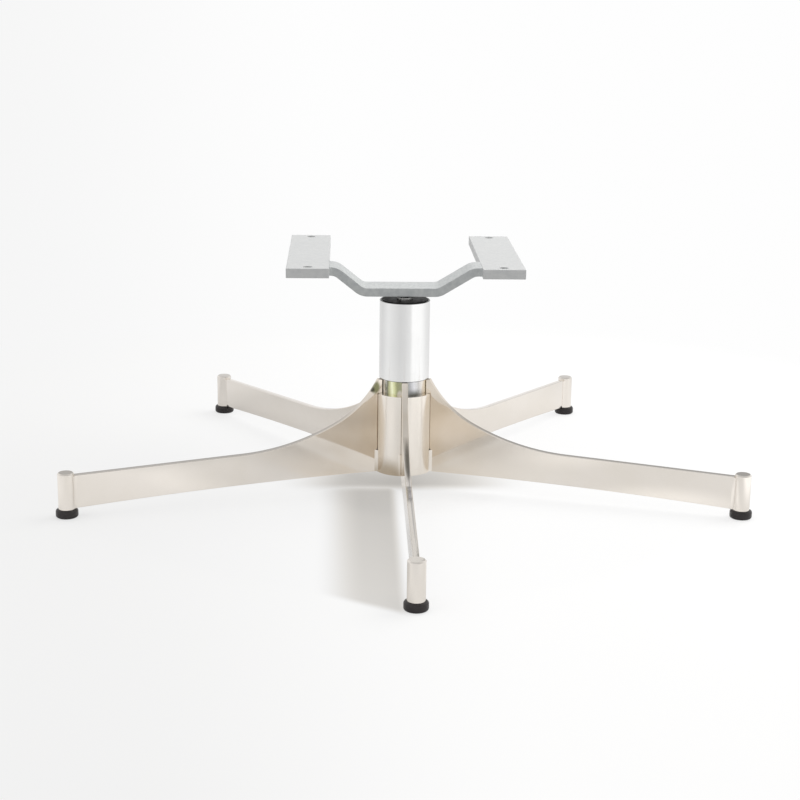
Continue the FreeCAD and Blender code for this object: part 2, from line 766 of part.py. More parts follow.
def hub_welds():
    """Beads from the foot of each slot to the bottom of the shell, both sides of each arm."""
    face_y = size("blade_thick") / 2 + size("fit_gap")
    low = size("shell_edge_low")
    high = size("slot_floor")
    beads = []
    for index in range(int(size("arm_count"))):
        for side in (1, -1):
            bead = weld_prism(face_y, size("hub_weld"), 0, size("shell_cope_r"), low, high, side)
            bead.rotate(CENTRE, UP, arm_turn(index))
            beads.append(bead)
    return bead_node("hub_welds", beads)


def post_welds():
    """Beads up each post, both sides of each arm, from the arm's toe to its tip."""
    face_y = size("blade_thick") / 2 + size("fit_gap")
    low = size("toe_high") + size("blade_edge")
    high = size("tip_high") - size("blade_edge")
    beads = []
    for index in range(int(size("arm_count"))):
        for side in (1, -1):
            bead = weld_prism(face_y, -size("foot_weld"), size("post_circle_r"),
                              size("cope_r"), low, high, side)
            bead.rotate(CENTRE, UP, arm_turn(index))
            beads.append(bead)
    return bead_node("post_welds", beads)


def spindle_weld():
    """Ring bead between the spindle and the strap."""
    return turned("spindle_weld", [
        ("spindle_weld_bore", "spindle_weld_low"),
        ("spindle_weld_r", "strap_low"),
        ("spindle_weld_bore", "strap_low"),
    ])


def yoke_welds():
    """Upright beads in the corners in front of and behind the strap's ends."""
    leg = size("yoke_weld")
    low = size("tab_low") + size("strap_edge")
    high = size("pad_top") - size("pad_edge") - size("strap_edge")
    beads = []
    for sign, side in ((1, 1), (1, -1), (-1, 1), (-1, -1)):
        inner = sign * size("pad_inner")
        flank = side * size("strap_half")
        corner = FreeCAD.Vector(inner, flank, low)
        on_strap = FreeCAD.Vector(inner - sign * leg, flank, low)
        on_pad = FreeCAD.Vector(inner, flank + side * leg, low)
        outline = [corner] + hollow_face(on_strap, on_pad, corner) + [corner]
        face = Part.Face(Part.makePolygon(outline))
        beads.append(face.extrude(FreeCAD.Vector(0, 0, high - low)))
    return bead_node("yoke_welds", beads)


def build():
    """Make every piece and return them in order."""
    pieces = [hub_shell(), core_tube(), column_sleeve(), upper_bush(), lower_bush()]
    pieces += [thrust_plate(), thrust_washer()]
    for index in range(int(size("arm_count"))):
        pieces += [blade(index), post(index), glide(index)]
    pieces += [hub_welds(), post_welds()]
    pieces += [yoke_strap(), pad_plate("pad_left", "-"), pad_plate("pad_right", "")]
    pieces += [yoke_welds(), spindle(), spindle_weld(), keeper_washer(), retaining_clip()]
    return pieces


def check_and_export(pieces):
    """Stop on any failed object or bad shape, then write one file for each piece."""
    for item in doc.Objects:
        for word in ("Invalid", "Error"):
            if word in item.State:
                raise RuntimeError("%s is %s" % (item.Label, item.State))
    os.makedirs("parts", exist_ok=True)
    for piece in pieces:
        shape = piece.Shape
        if shape.isNull() or not shape.isValid():
            raise RuntimeError("%s has a bad shape" % piece.Label)
        shape.exportStep("parts/%s.step" % piece.Label)
        print("%-16s solids %2d volume %12.2f" % (piece.Label, len(shape.Solids), shape.Volume))


fill_sheet()
all_pieces = build()
doc.recompute()
check_and_export(all_pieces)
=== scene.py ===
import json
from math import acos, asin, atan, atan2, cos, hypot, pi, radians, sin, sqrt, tan

import bmesh
import bpy
from mathutils import Matrix, Vector


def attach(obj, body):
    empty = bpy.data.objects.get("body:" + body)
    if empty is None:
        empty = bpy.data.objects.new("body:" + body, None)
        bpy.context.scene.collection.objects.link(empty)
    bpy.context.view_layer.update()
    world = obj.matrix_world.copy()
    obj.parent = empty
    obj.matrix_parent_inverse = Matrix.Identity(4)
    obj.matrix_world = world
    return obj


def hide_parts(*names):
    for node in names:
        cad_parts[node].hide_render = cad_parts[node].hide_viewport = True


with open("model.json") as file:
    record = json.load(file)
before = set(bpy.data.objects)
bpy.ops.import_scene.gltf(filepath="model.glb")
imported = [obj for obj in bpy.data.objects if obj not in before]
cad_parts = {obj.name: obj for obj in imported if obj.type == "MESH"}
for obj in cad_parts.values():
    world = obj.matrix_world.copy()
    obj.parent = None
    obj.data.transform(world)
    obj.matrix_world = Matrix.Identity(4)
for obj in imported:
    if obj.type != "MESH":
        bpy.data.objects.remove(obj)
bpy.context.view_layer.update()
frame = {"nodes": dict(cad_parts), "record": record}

MM = 0.001
AXIS = Vector((0.0, 0.0, 1.0))
ORIGIN = Vector((0.0, 0.0, 0.0))
ARMS = 5
STEP = 2 * pi / ARMS
FRONT = -pi / 2

# Sizes in millimetres: the solids' own, apart from the rounded edges and the slots' widths.
POST_CIRCLE = 340.0
POST_R = 8.0
POST_TOP = 44.0
POST_CHAMFER = 1.2
POST_EDGE = 0.3
POST_FOOT_EDGE = 0.25
GLIDE_R = 10.7
GLIDE_HIGH = 8.2
GLIDE_SHOULDER = 2.6
GLIDE_TOE = 2.2
GLIDE_GAP = 0.02
BLADE_HALF = 3.0
BLADE_ROUND = 0.8
BLADE_GAP = 0.1
CREST_R = 27.6
CREST_HIGH = 112.5
CREST_FALL = radians(61.3)
CROWN_RADIUS = 102.4
SWEEP_RADIUS = 230.0
RIDGE_FALL = radians(1.72)
TIP_HIGH = 41.1
BLADE_END = 332.6
TOE_HIGH = 8.4
BELLY_RADIUS = 4400.0
SHELL_R = 29.0
SHELL_LOW = 16.8
SHELL_TOP = 98.3
SHELL_EDGE = 0.35
# Gap between pieces that are welded or pressed together.
FIT_GAP = 0.05
# Half width of the slot at each arm, the front one first.
SLOT_HALVES = (3.1, 4.3, 3.5, 3.5, 4.3)
SLOT_FLOOR = 39.6
CORE_R = 23.4
CORE_BORE = 20.4
CORE_LOW = 39.55
CORE_TOP = 189.0
TUBE_EDGE = 0.3
SLEEVE_R = 25.0
SLEEVE_BORE = 23.45
SLEEVE_TOP = 191.5
SLEEVE_EDGE = 0.6
SLEEVE_BORE_EDGE = 0.2
FLANGE_TOP = 192.0
BUSH_BORE = 8.05
BUSH_R = 20.35
BUSH_LONG = 26.0
BUSH_EDGE = 0.8
BUSH_BORE_EDGE = 0.4
STRAP_LOW = 197.4
STRAP_THICK = 8.5
STRAP_HALF = 17.5
STRAP_EDGE = 0.7
BEND_INSIDE = 11.0
LEFT_BEND = 44.0
LEFT_KNEE = 70.0
RIGHT_BEND = 34.0
RIGHT_KNEE = 68.0
PAD_TOP = 226.5
PAD_THICK = 9.6
PAD_EDGE = 0.6
PAD_INNER = 75.0
PAD_OUTER = 117.0
PAD_FRONT = -25.5
PAD_BACK = 174.0
BOLT_X = 96.0
BOLT_YS = (-15.5, 164.0)
BOLT_R = 4.5
BOLT_BEVEL = 0.2
FOOT_WELD = 2.4
FOOT_WELD_SHORT = 0.4
HUB_WELD = 2.6
HUB_WELD_SHORT = 0.5
YOKE_WELD = 4.0
# Shares of a bead's depth: how far it reaches into its corner, and how hollow its face is.
BEAD_ROOT = 0.15
BEAD_SAG = 0.22
BEAD_FACETS = 6


# Outlines are lists of (radius or x, height) in millimetres.

def eased(outline, radii, steps=6, closed=False):
    """Outline with its corners rounded; radii holds a radius by corner number."""
    points = []
    count = len(outline)
    for i, corner in enumerate(outline):
        radius = radii.get(i, 0)
        if not radius or (not closed and i in (0, count - 1)):
            points.append(corner)
            continue
        here = Vector(corner)
        before = (Vector(outline[i - 1]) - here).normalized()
        after = (Vector(outline[(i + 1) % count]) - here).normalized()
        half = acos(max(-1, min(1, before.dot(after)))) / 2
        reach = radius / tan(half)
        middle = here + (before + after).normalized() * radius / sin(half)
        start = here + before * reach
        stop = here + after * reach
        first = atan2(start.y - middle.y, start.x - middle.x)
        turn = atan2(stop.y - middle.y, stop.x - middle.x) - first
        turn = (turn + pi) % (2 * pi) - pi
        for k in range(steps + 1):
            angle = first + turn * k / steps
            points.append((middle.x + radius * cos(angle), middle.y + radius * sin(angle)))
    return points


def arc(centre, radius, first, last, steps):
    """Points along an arc, both ends included."""
    return [(centre[0] + radius * cos(first + (last - first) * k / steps),
             centre[1] + radius * sin(first + (last - first) * k / steps))
            for k in range(steps + 1)]


def finished(name, mesh, material, body, nodes, crease=35):
    """Object from a bmesh: smooth faces, sharp where they meet past the crease angle."""
    bmesh.ops.remove_doubles(mesh, verts=mesh.verts, dist=1e-6)
    bmesh.ops.recalc_face_normals(mesh, faces=mesh.faces)
    for face in mesh.faces:
        face.smooth = True
    for edge in mesh.edges:
        edge.smooth = len(edge.link_faces) == 2 and edge.calc_face_angle(0) < radians(crease)
    data = bpy.data.meshes.new(name)
    mesh.to_mesh(data)
    mesh.free()
    data.materials.append(material)
    piece = bpy.data.objects.new(name, data)
    bpy.context.scene.collection.objects.link(piece)
    # Large faces keep their own direction, so flat plate reflects as flat plate.
    even = piece.modifiers.new("even_shading", "WEIGHTED_NORMAL")
    even.mode = "FACE_AREA"
    even.weight = 50
    even.keep_sharp = True
    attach(piece, body)
    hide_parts(*nodes)
    return piece


def wire(mesh, points, closed):
    """Chain of edges through points."""
    verts = [mesh.verts.new(p) for p in points]
    edges = [mesh.edges.new(pair) for pair in zip(verts, verts[1:])]
    if closed:
        edges.append(mesh.edges.new((verts[-1], verts[0])))
    return verts, edges


def spun(outline, closed, steps):
    """Outline spun about the vertical axis."""
    mesh = bmesh.new()
    points = [Vector((r * MM, 0, z * MM)) for r, z in outline]
    verts, edges = wire(mesh, points, closed)
    bmesh.ops.spin(mesh, geom=verts + edges, cent=ORIGIN, axis=AXIS, dvec=ORIGIN,
                   angle=2 * pi, steps=steps, use_merge=True, use_duplicate=False)
    bmesh.ops.remove_doubles(mesh, verts=mesh.verts, dist=1e-7)
    return mesh


def moved_to_arm(mesh, index):
    """Shift a piece made on the axis to the end of an arm."""
    angle = FRONT + index * STEP
    out = POST_CIRCLE * MM
    place = Matrix.Translation((out * cos(angle), out * sin(angle), 0))
    turn = Matrix.Rotation(angle, 4, "Z")
    bmesh.ops.transform(mesh, matrix=place @ turn, verts=mesh.verts)
    return mesh


def slab(outline, half, edge, segments):
    """Plate of an outline in X and Z, both faces' rims rounded."""
    mesh = bmesh.new()
    verts = [mesh.verts.new((x * MM, -half * MM, z * MM)) for x, z in outline]
    near = mesh.faces.new(verts)
    made = bmesh.ops.extrude_face_region(mesh, geom=[near])
    far = [v for v in made["geom"] if isinstance(v, bmesh.types.BMVert)]
    bmesh.ops.translate(mesh, vec=(0, 2 * half * MM, 0), verts=far)
    bmesh.ops.recalc_face_normals(mesh, faces=mesh.faces)
    rims = [e for e in mesh.edges if abs(e.verts[0].co.y - e.verts[1].co.y) < 1e-9]
    bmesh.ops.bevel(mesh, geom=rims, offset=edge * MM, offset_type="OFFSET",
                    affect="EDGES", segments=segments, profile=0.5, material=-1,
                    clamp_overlap=False)
    return mesh


# Shader nodes.

def node(tree, kind, links=None, **settings):
    """Shader node with its settings and what goes into its sockets."""
    made = tree.nodes.new(kind)
    for key, value in settings.items():
        setattr(made, key, value)
    for name, source in (links or {}).items():
        if isinstance(source, Flow):
            source = source.socket
        if isinstance(source, bpy.types.NodeSocket):
            tree.links.new(source, made.inputs[name])
        else:
            made.inputs[name].default_value = source
    return made


class Flow:
    """Value on its way through a node tree; sums and products of it make math nodes."""

    def __init__(self, tree, socket):
        self.tree = tree
        self.socket = socket

    def math(self, operation, first, second):
        """Flow from a math node."""
        made = node(self.tree, "ShaderNodeMath", {0: first, 1: second}, operation=operation)
        return Flow(self.tree, made.outputs[0])

    def __add__(self, other):
        return self.math("ADD", self, other)

    def __sub__(self, other):
        return self.math("SUBTRACT", self, other)

    def __rsub__(self, other):
        return self.math("SUBTRACT", other, self)

    def __mul__(self, other):
        return self.math("MULTIPLY", self, other)

    def __truediv__(self, other):
        return self.math("DIVIDE", self, other)

    def least(self, other):
        """The smaller of two."""
        return self.math("MINIMUM", self, other)

    def most(self, other):
        """The larger of two."""
        return self.math("MAXIMUM", self, other)

    def ranged(self, first, last, low=0.0, high=1.0, kind="LINEAR"):
        """Value mapped from first..last to low..high."""
        ends = {"Value": self, "From Min": first, "From Max": last, "To Min": low, "To Max": high}
        made = node(self.tree, "ShaderNodeMapRange", ends, interpolation_type=kind)
        return Flow(self.tree, made.outputs["Result"])

    def smooth(self, first, last, low=0.0, high=1.0):
        """Value mapped in the same way, with soft ends."""
        return self.ranged(first, last, low, high, "SMOOTHSTEP")


def place_of(tree):
    """Object coordinates."""
    return node(tree, "ShaderNodeTexCoord").outputs["Object"]


def parts_of(tree, vector):
    """X, Y and Z of a vector."""
    made = node(tree, "ShaderNodeSeparateXYZ", {"Vector": vector})
    return [Flow(tree, socket) for socket in made.outputs]


def vectors(tree, operation, *given):
    """Result of a vector sum, product and so on: a vector, or a Flow for a length or dot product."""
    made = node(tree, "ShaderNodeVectorMath", dict(enumerate(given)), operation=operation)
    if operation in ("LENGTH", "DOT_PRODUCT"):
        return Flow(tree, made.outputs["Value"])
    return made.outputs["Vector"]


def noise(tree, place, scale, detail, roughness=0.5):
    """Soft noise over a place."""
    made = node(tree, "ShaderNodeTexNoise",
                {"Vector": place, "Scale": scale, "Detail": detail, "Roughness": roughness})
    return Flow(tree, made.outputs["Fac"])


def turn_share(tree, x, y):
    """Turn round the axis, seen from above, as a share: 0.5 at the front."""
    return x.math("ARCTAN2", x, y * -1.0).ranged(-pi, pi)


def ramped(tree, value, stops):
    """Colour over a value; stops are (position, colour), the first at 0 and the last at 1."""
    made = node(tree, "ShaderNodeValToRGB", {"Fac": value})
    marks = made.color_ramp.elements
    marks[0].position, marks[0].color = 0.0, (*stops[0][1], 1)
    marks[1].position, marks[1].color = 1.0, (*stops[-1][1], 1)
    for position, colour in stops[1:-1]:
        marks.new(position).color = (*colour, 1)
    return made.outputs["Color"]


def round_axis(stops):
    """Ramp stops from (degrees, colour) round the axis; the first, at -180, closes the ring too."""
    shares = [((angle + 180) / 360, colour) for angle, colour in stops]
    return shares + [(1.0, stops[0][1])]


def blended(tree, factor, first, second):
    """Colour mixed from two colours or sockets."""
    pair = [(*value, 1) if isinstance(value, tuple) else value for value in (first, second)]
    mix = node(tree, "ShaderNodeMix", {"Factor": factor, 6: pair[0], 7: pair[1]}, data_type="RGBA")
    return mix.outputs[2]


def grey(tree, value, tint=(1.0, 1.0, 1.0)):
    """Colour from a brightness and a tint."""
    shares = {i: value * share for i, share in enumerate(tint)}
    return node(tree, "ShaderNodeCombineColor", shares).outputs[0]


# Shared effects, as node groups.

# Painted shade round the hub, in metres from the axis: where it starts and where it is full.
HUB_SHADE_REACH = 0.14
HUB_SHADE_FULL = 0.03
# Share of a spot's size that is full.
SPOT_CORE = 0.45


def new_group(name, outputs, **inputs):
    """Node group and its inputs by name; outputs names what it gives."""
    group = bpy.data.node_groups.new(name, "ShaderNodeTree")
    for label, value in inputs.items():
        kind = "NodeSocketVector" if isinstance(value, tuple) else "NodeSocketFloat"
        socket = group.interface.new_socket(name=label, in_out="INPUT", socket_type=kind)
        socket.default_value = value
    for label in outputs:
        group.interface.new_socket(name=label, in_out="OUTPUT", socket_type="NodeSocketFloat")
    given = node(group, "NodeGroupInput")
    return group, {label: Flow(group, given.outputs[label]) for label in inputs}


def give(group, **results):
    """Send results to a group's outputs."""
    node(group, "NodeGroupOutput", results)
    return group


def placed(tree, group, **values):
    """What comes out of a group with these values, by name."""
    made = tree.nodes.new("ShaderNodeGroup")
    made.node_tree = group
    for key, value in values.items():
        made.inputs[key].default_value = value
    return {socket.name: Flow(tree, socket) for socket in made.outputs}


def polish_group():
    """Handling haze and fine polishing lines of a bright finish."""
    group, given = new_group("polish", ["roughness", "haze"], clear=0.05, hazy=0.14, haze_size=14.0,
                             stretch=(30.0, 900.0, 900.0))
    place = place_of(group)
    haze = noise(group, place, given["haze_size"], 5.0, 0.6).ranged(0.42, 0.72)
    stretched = node(group, "ShaderNodeMapping", {"Vector": place, "Scale": given["stretch"]})
    lines = noise(group, stretched.outputs["Vector"], 1.0, 2.0)
    rough = haze.ranged(0.0, 1.0, given["clear"], given["hazy"])
    return give(group, roughness=rough + (lines - 0.5) * given["clear"], haze=haze)


def dust_and_light_group():
    """Mask of faces that look upwards, in specks: thin settled dust on metal and plastic, painted top
    light on the paint.
    """
    group, given = new_group("dust_and_painted_top_light", ["mask"], amount=0.1)
    place = place_of(group)
    face = node(group, "ShaderNodeNewGeometry")
    up = parts_of(group, face.outputs["Normal"])[2].ranged(0.3, 1.0)
    specks = noise(group, place, 900.0, 3.0).ranged(0.45, 0.75)
    drift = noise(group, place, 22.0, 4.0)
    return give(group, mask=specks * drift * up * given["amount"])


def ripple_group():
    """Height of a slightly wavy, slightly grainy surface."""
    group, given = new_group("ripple", ["height"], wave_size=20.0, wave=1.0,
                             grain_size=1500.0, grain=0.1)
    place = place_of(group)
    waves = noise(group, place, given["wave_size"], 1.0, 0.4) * given["wave"]
    grains = noise(group, place, given["grain_size"], 3.0) * given["grain"]
    return give(group, height=waves + grains)


def hub_shade_group():
    """Painted shade round the hub: a warm, darker reflection of the shaded floor, broken up into
    patches.
    """
    group, given = new_group("painted_hub_shade", ["mask"], amount=0.6)
    place = place_of(group)
    away = vectors(group, "LENGTH", vectors(group, "MULTIPLY", place, (1, 1, 0)))
    patches = noise(group, place, 26.0, 2.0).ranged(0.35, 0.62, 0.45)
    return give(group, mask=away.smooth(HUB_SHADE_REACH, HUB_SHADE_FULL) * patches * given["amount"])


def spot_group():
    """Soft round spot about a point."""
    group, given = new_group("soft_spot", ["mask"], centre=(0.0, 0.0, 0.0),
                             stretch=(1.0, 1.0, 1.0), size=0.005)
    offset = vectors(group, "SUBTRACT", place_of(group), given["centre"])
    away = vectors(group, "LENGTH", vectors(group, "MULTIPLY", offset, given["stretch"]))
    return give(group, mask=away.smooth(given["size"], given["size"] * SPOT_CORE))


POLISH = polish_group()
DUST_AND_TOP_LIGHT = dust_and_light_group()
RIPPLE = ripple_group()
HUB_SHADE = hub_shade_group()
SPOT = spot_group()


def spot(tree, centre, size, stretch=(1.0, 1.0, 1.0)):
    """Mask of a soft spot."""
    return placed(tree, SPOT, centre=centre, size=size, stretch=stretch)["mask"]


# Materials.

# Colour of the painted shade round the hub.
HUB_SHADE_COLOUR = (0.72, 0.62, 0.49)
# Colour of painted shadow lines.
SHADOW_LINE_COLOUR = (0.20, 0.20, 0.20)
DUST_COLOUR = (0.62, 0.60, 0.57)
BLACK_DUST_COLOUR = (0.30, 0.29, 0.28)


def new_material(name, **values):
    """New material, its tree and its Principled shader with these values."""
    material = bpy.data.materials.new(name)
    material.use_nodes = True
    shader = material.node_tree.nodes["Principled BSDF"]
    for key, value in values.items():
        shader.inputs[key.replace("_", " ")].default_value = value
    return material, material.node_tree, shader


def dress(tree, shader, colour, polish, strength=1.0, **ripple):
    """Colour, roughness and bump into a shader."""
    height = placed(tree, RIPPLE, **ripple)["height"]
    bump = node(tree, "ShaderNodeBump", {"Strength": strength, "Distance": 0.001, "Height": height})
    tree.links.new(colour, shader.inputs["Base Color"])
    tree.links.new(polish["roughness"].socket, shader.inputs["Roughness"])
    tree.links.new(bump.outputs["Normal"], shader.inputs["Normal"])


def bright_metal(name, colour, shade, clear, hazy, haze_size, stretch, wave, grain, dust_and_light,
                 tint=0.0, marks=(), turned=0.0, shadow_lines=()):
    """Polished or plated metal: mirror with light haze, fine lines and a slight wave.

    tint is the share of painted shade round the hub, marks are painted reflections, turned is the
    strength of turning lines round the axis, and seams are the heights of painted shadow lines.
    """
    material, tree, shader = new_material(name, Metallic=1.0)
    polish = placed(tree, POLISH, clear=clear, hazy=hazy, haze_size=haze_size, stretch=stretch)
    tone = blended(tree, polish["haze"], colour, shade)
    # Painted shade round the hub: the shaded floor's warm reflection, in patches.
    if tint:
        tone = blended(tree, placed(tree, HUB_SHADE, amount=tint)["mask"], tone, HUB_SHADE_COLOUR)
    # Painted reflections as soft spots of colour.
    for centre, stretched, size, painted_tone in marks:
        tone = blended(tree, spot(tree, centre, size, stretched), tone, painted_tone)
    # Painted shadow lines, full at the second height.
    for unshaded, dark in shadow_lines:
        height = parts_of(tree, place_of(tree))[2]
        tone = blended(tree, height.ranged(unshaded, dark), tone, SHADOW_LINE_COLOUR)
    if turned:
        lines = node(tree, "ShaderNodeTangent", direction_type="RADIAL", axis="Z")
        tree.links.new(lines.outputs["Tangent"], shader.inputs["Tangent"])
        shader.inputs["Anisotropic"].default_value = turned
        shader.inputs["Anisotropic Rotation"].default_value = 0.25
    tone = blended(tree, placed(tree, DUST_AND_TOP_LIGHT, amount=dust_and_light)["mask"], tone, DUST_COLOUR)
    dress(tree, shader, tone, polish, wave_size=9.0, wave=wave, grain_size=2600.0, grain=grain)
    return material


# Painted reflections, each with its centre, stretch, size and colour.
# On the arms: two painted reflections of the yellow tube beside it, and a darker painted reflection
# along the front arm's top edge.
ARM_PAINTED_REFLECTIONS = [((-0.0286, -0.0118, 0.1045), (1.0, 1.0, 0.70), 0.0060, (0.24, 0.235, 0.13)),
             ((-0.0318, -0.0118, 0.1020), (1.0, 1.0, 0.9), 0.0034, (0.08, 0.075, 0.05)),
             ((0.0009, -0.2050, 0.0450), (110.0, 1.0, 1.0), 0.1180, (0.58, 0.55, 0.53))]
# On the hub: a browner painted reflection of the shaded floor at its lower left.
HUB_PAINTED_REFLECTIONS = [((-0.0170, -0.0250, 0.0080), (1.15, 1.0, 1.0), 0.0310, (0.48, 0.41, 0.32))]
# Painted shadow lines at the sleeve's rims, where it sits on the arms and under the bush: where each
# starts and where it is full.
SLEEVE_SHADOW_LINES = [(0.1134, 0.1129), (0.1909, 0.1914)]

# tint gives painted shade round the hub; marks give painted reflections.
NICKEL = bright_metal("polished_nickel", (0.86, 0.812, 0.758), (0.83, 0.78, 0.715),
                      clear=0.05, hazy=0.11, haze_size=12.0, stretch=(40, 40, 1600),
                      wave=0.08, grain=0.0015, dust_and_light=0.06, tint=0.55, marks=ARM_PAINTED_REFLECTIONS)
HUB_NICKEL = bright_metal("satin_nickel", (0.92, 0.872, 0.81), (0.85, 0.80, 0.725),
                          clear=0.20, hazy=0.25, haze_size=14.0, stretch=(40, 40, 12),
                          wave=0.03, grain=0.0, dust_and_light=0.0, tint=0.12, turned=0.85, marks=HUB_PAINTED_REFLECTIONS)
CHROME = bright_metal("sleeve_chrome", (0.88, 0.88, 0.875), (0.85, 0.85, 0.845),
                      clear=0.19, hazy=0.22, haze_size=16.0, stretch=(900, 900, 30),
                      wave=0.03, grain=0.001, dust_and_light=0.04, shadow_lines=SLEEVE_SHADOW_LINES)
STEEL = bright_metal("turned_steel", (0.80, 0.795, 0.78), (0.70, 0.69, 0.67),
                     clear=0.22, hazy=0.34, haze_size=40.0, stretch=(60, 60, 2400),
                     wave=0.02, grain=0.02, dust_and_light=0.10)

# Bands of the yellow passivate with painted reflections and painted highlights, by turn round the
# tube, 0 degrees at the front.
ZINC_BANDS_AND_REFLECTIONS = [
    (-180, (0.62, 0.62, 0.36)), (-130, (0.80, 0.78, 0.52)), (-95, (0.52, 0.52, 0.28)),
    (-68, (0.20, 0.20, 0.13)), (-56, (0.92, 0.90, 0.87)), (-46, (0.20, 0.20, 0.14)),
    (-39, (0.60, 0.61, 0.36)), (-32, (0.98, 1.00, 0.72)), (-26, (0.80, 0.82, 0.48)),
    (-18, (0.40, 0.41, 0.23)), (4, (0.44, 0.44, 0.36)), (13, (0.47, 0.47, 0.49)),
    (24, (0.74, 0.74, 0.76)), (36, (0.62, 0.61, 0.60)), (52, (0.90, 0.85, 0.78)),
    (90, (0.84, 0.80, 0.60)), (135, (0.60, 0.60, 0.34))]


def zinc_material():
    """Yellow passivated zinc: olive and yellow green bands with painted reflections and silver
    painted highlights, and painted shade at its foot right of the front arm.
    """
    material, tree, shader = new_material("yellow_zinc", Metallic=1.0)
    place = place_of(tree)
    x, y, z = parts_of(tree, place)
    drift = noise(tree, place, 60.0, 3.0).ranged(0.0, 1.0, -0.012, 0.012)
    tone = ramped(tree, turn_share(tree, x, y) + drift, round_axis(ZINC_BANDS_AND_REFLECTIONS))
    # Painted shade at the tube's foot, right of the front arm.
    dark = z.smooth(0.1065, 0.0990) * (x.ranged(0.0, 0.006) * x.ranged(0.020, 0.012))
    tone = blended(tree, dark, tone, (0.16, 0.16, 0.15))
    # A small patch of solder.
    solder = spot(tree, (-0.0046, -0.0228, 0.0990), 0.0038, (1.0, 1.0, 0.60))
    tone = blended(tree, solder, tone, (0.66, 0.61, 0.52))
    polish = placed(tree, POLISH, clear=0.20, hazy=0.30, haze_size=30.0, stretch=(800, 800, 30))
    dress(tree, shader, tone, polish, wave_size=60.0, wave=0.05, grain_size=2200.0, grain=0.02)
    return material


def paint_material(name, low, high, dust_and_light):
    """Pale grey paint: soft orange peel, faint mottling, and painted top light in specks on the faces
    that look up.
    """
    material, tree, shader = new_material(name, Specular_IOR_Level=0.6)
    polish = placed(tree, POLISH, clear=0.40, hazy=0.46, haze_size=70.0, stretch=(300, 300, 300))
    patch = noise(tree, place_of(tree), 210.0, 3.0, 0.6).ranged(0.36, 0.66)
    tone = blended(tree, patch, low, high)
    # Painted top light: faces that look up take the last colour.
    tone = blended(tree, placed(tree, DUST_AND_TOP_LIGHT, amount=1.0)["mask"], tone, dust_and_light)
    dress(tree, shader, tone, polish, 0.6, wave_size=420.0, wave=0.10, grain_size=2600.0, grain=0.02)
    return material


def plastic_material(name, colour, shade, clear, hazy, grain, shine, dust_and_light):
    """Black moulded plastic with a fine grain."""
    material, tree, shader = new_material(name, Specular_IOR_Level=shine)
    polish = placed(tree, POLISH, clear=clear, hazy=hazy, haze_size=60.0, stretch=(300, 300, 300))
    tone = blended(tree, polish["haze"], colour, shade)
    tone = blended(tree, placed(tree, DUST_AND_TOP_LIGHT, amount=dust_and_light)["mask"], tone, BLACK_DUST_COLOUR)
    dress(tree, shader, tone, polish, 0.5, wave_size=500.0, wave=0.03, grain_size=3200.0, grain=grain)
    return material


ZINC = zinc_material()
# The last colour of each paint is painted top light on its upper faces.
PAINT = paint_material("yoke_paint", (0.479, 0.50, 0.505), (0.566, 0.585, 0.582),
                       (0.95, 0.95, 0.93))
PAD_PAINT = paint_material("pad_paint", (0.60, 0.61, 0.612), (0.645, 0.652, 0.65),
                           (0.765, 0.77, 0.76))
GLIDE = plastic_material("glide_plastic", (0.022, 0.018, 0.018), (0.030, 0.025, 0.025),
                         clear=0.32, hazy=0.44, grain=0.05, shine=0.40, dust_and_light=0.15)
BUSH = plastic_material("bush_plastic", (0.004, 0.004, 0.004), (0.009, 0.009, 0.009),
                        clear=0.34, hazy=0.46, grain=0.02, shine=0.06, dust_and_light=0.02)


# Pieces of the star.

def blade_outline():
    """Side of an arm: crest, two tangent curves, straight ridge, hollow belly, step at the slot."""
    crown = (CREST_R + CROWN_RADIUS * sin(CREST_FALL), CREST_HIGH + CROWN_RADIUS * cos(CREST_FALL))
    along = Vector((cos(RIDGE_FALL), -sin(RIDGE_FALL)))
    upward = Vector((sin(RIDGE_FALL), cos(RIDGE_FALL)))
    on_ridge = Vector((POST_CIRCLE, TIP_HIGH))
    reach = Vector(crown) - on_ridge
    shift = sqrt((SWEEP_RADIUS - CROWN_RADIUS) ** 2 - (SWEEP_RADIUS - reach.dot(upward)) ** 2)
    ridge = on_ridge + along * (reach.dot(along) + shift)
    sweep = ridge + upward * SWEEP_RADIUS
    apart = (Vector(crown) - sweep).normalized()
    change = atan2(apart.y, apart.x) + 2 * pi
    start = atan2(CREST_HIGH - crown[1], CREST_R - crown[0]) + 2 * pi
    settle = atan2(ridge.y - sweep.y, ridge.x - sweep.x) + 2 * pi
    points = [(CORE_R + BLADE_GAP, CREST_HIGH)]
    points += arc(crown, CROWN_RADIUS, start, change, 44)
    points += arc(sweep, SWEEP_RADIUS, change, settle, 36)[1:]
    end_high = TIP_HIGH + (POST_CIRCLE - BLADE_END) * tan(RIDGE_FALL)
    points.append((BLADE_END, end_high))
    toe = Vector((BLADE_END, TOE_HIGH))
    heel = Vector((SHELL_R + FIT_GAP, SHELL_LOW))
    chord = (toe - heel) / 2
    drop = Vector((chord.y, -chord.x)).normalized()
    middle = heel + chord + drop * sqrt(BELLY_RADIUS ** 2 - chord.length ** 2)
    first = atan2(toe.y - middle.y, toe.x - middle.x)
    last = atan2(heel.y - middle.y, heel.x - middle.x)
    points += arc(middle, BELLY_RADIUS, first, last, 24)
    points.append((SHELL_R + FIT_GAP, SLOT_FLOOR + FIT_GAP))
    points.append((CORE_R + BLADE_GAP, SLOT_FLOOR + FIT_GAP))
    return points


